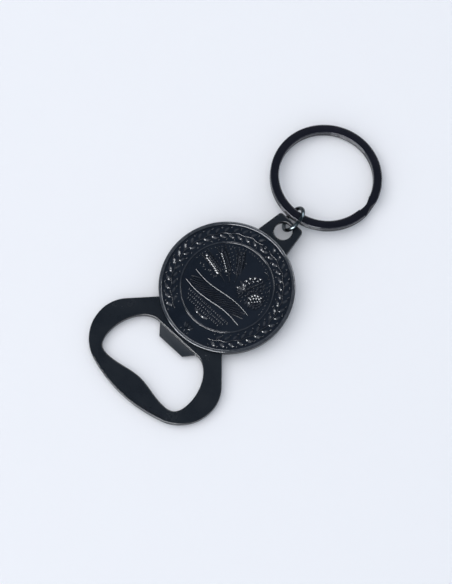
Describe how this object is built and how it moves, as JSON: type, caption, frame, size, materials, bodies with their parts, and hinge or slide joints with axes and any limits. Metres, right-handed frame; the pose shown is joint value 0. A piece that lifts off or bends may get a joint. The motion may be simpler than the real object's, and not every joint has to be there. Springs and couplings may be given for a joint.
{
  "type": "keychain bottle opener",
  "caption": "Flat black bottle opener with a wide cap-lifting head, a round relief medallion and a ring tab, carried on a jump ring and a split key ring.",
  "frame": {"origin": "centre of the round body on the plate's flat back face", "axes": "+Z out of the medallion's face; +Y from the round body through the tab to the key ring, with the cap-lifting head towards -Y; +X to the right seen from the front"},
  "size_m": [0.0432, 0.103, 0.0085],
  "materials": {
    "plate_black": "satin black coating",
    "medallion_black": "semi-gloss black coating over struck relief",
    "bonding_film": "clear adhesive film",
    "jump_ring_gunmetal": "polished gunmetal plating",
    "split_ring_black": "black nickel plating"
  },
  "bodies": {
    "opener": {"opener_plate": "plate_black", "bonding_film": "bonding_film", "medallion": "medallion_black"},
    "jump_ring": {"jump_ring": "jump_ring_gunmetal"},
    "split_ring": {"split_ring": "split_ring_black"}
  },
  "joints": [
    {"name": "jump_ring_swing", "type": "hinge", "parent": "opener", "child": "jump_ring", "pos_m": [0, 0.0261, 0.001], "axis": [1, 0, 0], "range_deg": [-60, 90]},
    {"name": "split_ring_swing", "type": "hinge", "parent": "jump_ring", "child": "split_ring", "pos_m": [-0.0007, 0.02925, 0.001], "axis": [0.993, 0.1174, -0.013], "range_deg": [-75, 75]}
  ]
}
